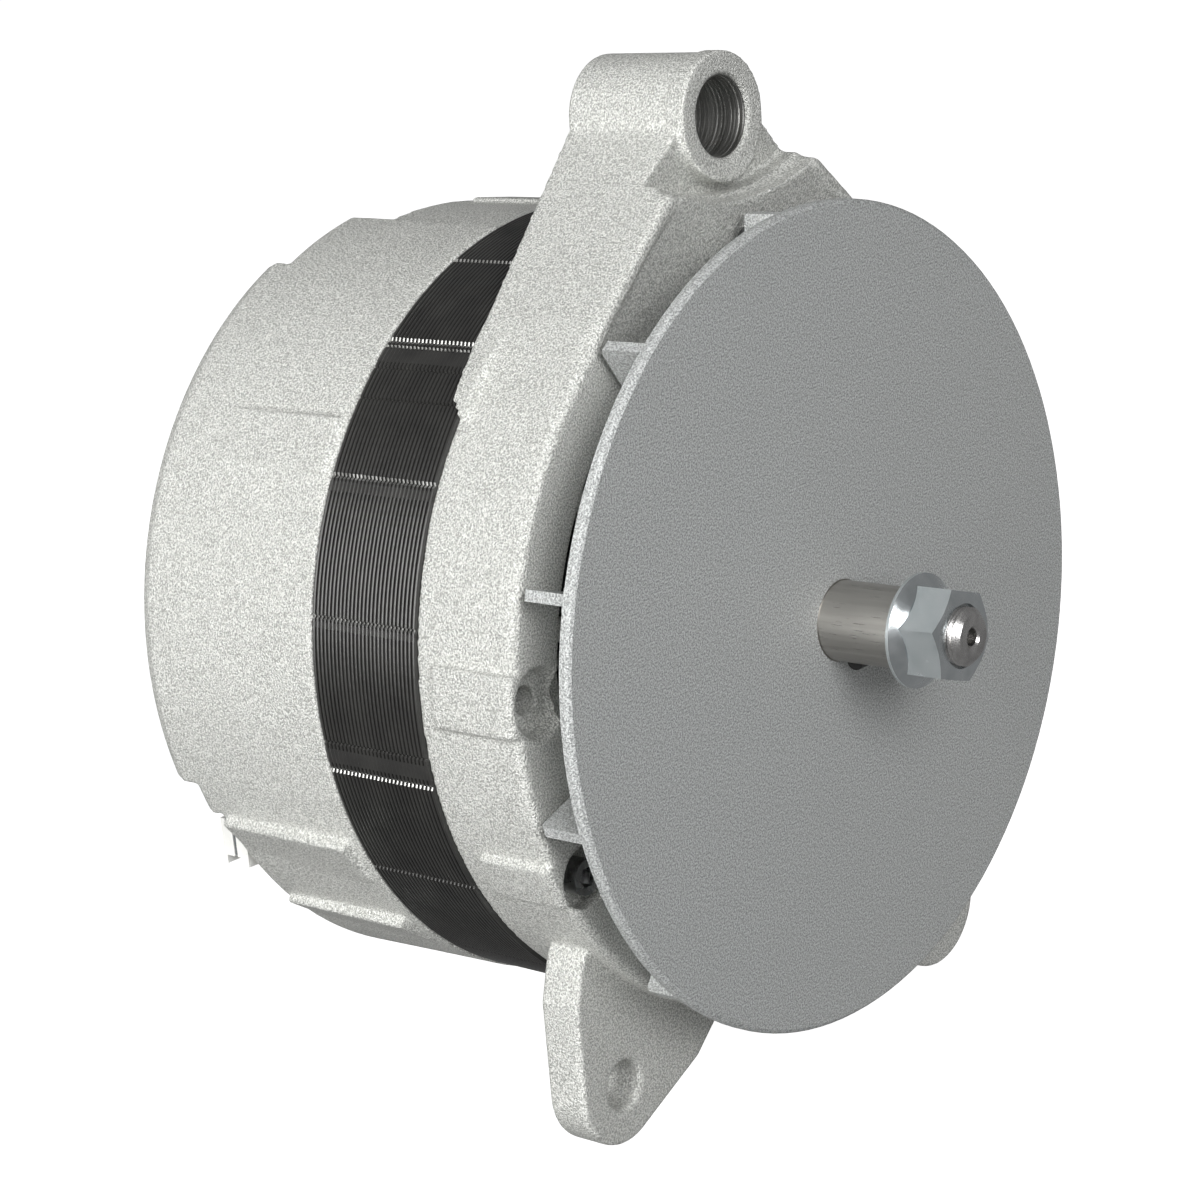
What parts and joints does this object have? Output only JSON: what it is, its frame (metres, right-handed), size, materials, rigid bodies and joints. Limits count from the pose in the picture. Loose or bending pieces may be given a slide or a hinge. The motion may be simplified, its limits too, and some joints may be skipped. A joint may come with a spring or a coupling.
{
  "type": "alternator",
  "caption": "Heavy-duty brushless vehicle alternator with a front cooling fan, a keyed pulley shaft, a hinge ear and two slack-adjusting lugs on its cast drive end housing.",
  "frame": {"origin": "on the shaft axis, in the front face of the fan disc, where the pulley seats", "axes": "-Y along the shaft to the drive end, +Y to the rear, +Z from the shaft to the hinge ear"},
  "size_m": [0.2278, 0.2211, 0.2877],
  "materials": {
    "cast_aluminium": "bead blasted casting",
    "fan_steel": "silver grey coating",
    "turned_steel": "turned",
    "zinc_plated": "bright zinc plating",
    "black_oxide": "black oxide",
    "bearing_steel": "ground",
    "lamination": "dark laminated steel",
    "pole_steel": "dark forged steel",
    "stainless": "welded stainless steel",
    "copper": "varnished copper wire",
    "insulation": "insulating paper",
    "black_plastic": "moulded",
    "nylon": "natural nylon",
    "phenolic": "moulded phenolic"
  },
  "bodies": {
    "frame": {"drive_end_housing": "cast_aluminium", "rear_housing": "cast_aluminium", "positive_heat_sink": "cast_aluminium", "negative_heat_sink": "cast_aluminium", "capacitor": "cast_aluminium", "bearing_retainer": "turned_steel", "field_support": "turned_steel", "output_nut": "zinc_plated", "ground_screw": "zinc_plated", "relay_terminal": "zinc_plated", "bearing_retainer_screws": "zinc_plated", "field_support_screws": "zinc_plated", "through_bolts": "zinc_plated", "rectifier_screws": "zinc_plated", "regulator_screws": "zinc_plated", "capacitor_screw": "zinc_plated", "capacitor_strap": "zinc_plated", "rear_bearing_cap": "zinc_plated", "front_bearing_outer_race": "bearing_steel", "rear_bearing_outer_race": "bearing_steel", "positive_diodes": "bearing_steel", "negative_diodes": "bearing_steel", "stator_core": "lamination", "stator_winding": "copper", "field_coil": "copper", "output_stud": "copper", "slot_liners": "insulation", "front_bearing_shields": "black_plastic", "rear_bearing_shields": "black_plastic", "field_bobbin": "black_plastic", "regulator": "black_plastic", "diode_trio": "black_plastic", "relay_connector": "nylon", "rectifier_insulators": "nylon", "output_insulator": "phenolic"},
    "rotor": {"shaft": "turned_steel", "woodruff_key": "black_oxide", "pulley_nut": "zinc_plated", "fan": "fan_steel", "fan_spacer": "turned_steel", "front_pole_piece": "pole_steel", "rear_pole_ring": "pole_steel", "pole_joining_ring": "stainless", "front_bearing_inner_race": "bearing_steel", "rear_bearing_inner_race": "bearing_steel"},
    "front_ball_set": {"front_bearing_balls": "bearing_steel", "front_bearing_cage": "stainless"},
    "rear_ball_set": {"rear_bearing_balls": "bearing_steel", "rear_bearing_cage": "stainless"}
  },
  "joints": [
    {"name": "rotor_spin", "type": "hinge", "parent": "frame", "child": "rotor", "pos_m": [0, 0, 0], "axis": [0, -1, 0], "continuous": true},
    {"name": "front_cage_spin", "type": "hinge", "parent": "frame", "child": "front_ball_set", "pos_m": [0, 0.0385, 0], "axis": [0, -1, 0], "continuous": true},
    {"name": "rear_cage_spin", "type": "hinge", "parent": "frame", "child": "rear_ball_set", "pos_m": [0, 0.116, 0], "axis": [0, -1, 0], "continuous": true}
  ],
  "couplings": [
    {"joint": "front_cage_spin", "follows": "rotor_spin", "ratio": 0.3759},
    {"joint": "rear_cage_spin", "follows": "rotor_spin", "ratio": 0.3912}
  ]
}
